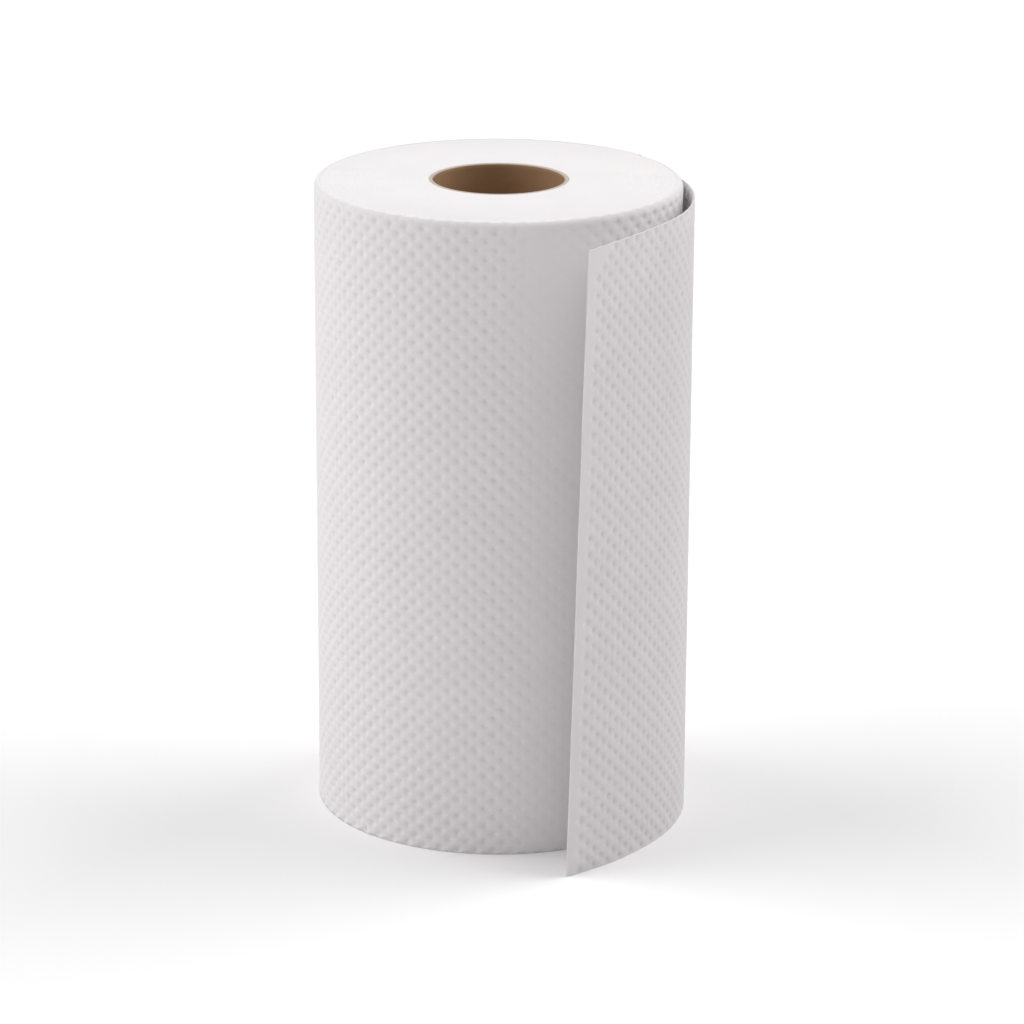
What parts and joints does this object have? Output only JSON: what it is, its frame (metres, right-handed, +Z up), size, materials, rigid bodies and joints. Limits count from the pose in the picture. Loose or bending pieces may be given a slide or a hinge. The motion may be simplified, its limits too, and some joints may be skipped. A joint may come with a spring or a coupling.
{
  "type": "paper towel roll",
  "caption": "Roll of embossed kitchen paper towel on a card tube, standing on its end with the last sheet hanging open; for a kitchen counter or a roll holder.",
  "frame": {"origin": "centre of the core's bore in the plane that the roll stands on", "axes": "+Z up along the roll's axis, the loose sheet opens towards -Y with its free edge at +X of the middle"},
  "size_m": [0.1331, 0.1543, 0.228],
  "materials": {
    "core_card": "plain brown spiral-wound card",
    "towel_paper": "matte white two-ply tissue with round embossed dimples"
  },
  "bodies": {
    "root": {"core_tube": "core_card", "towel_roll": "towel_paper"}
  },
  "joints": []
}
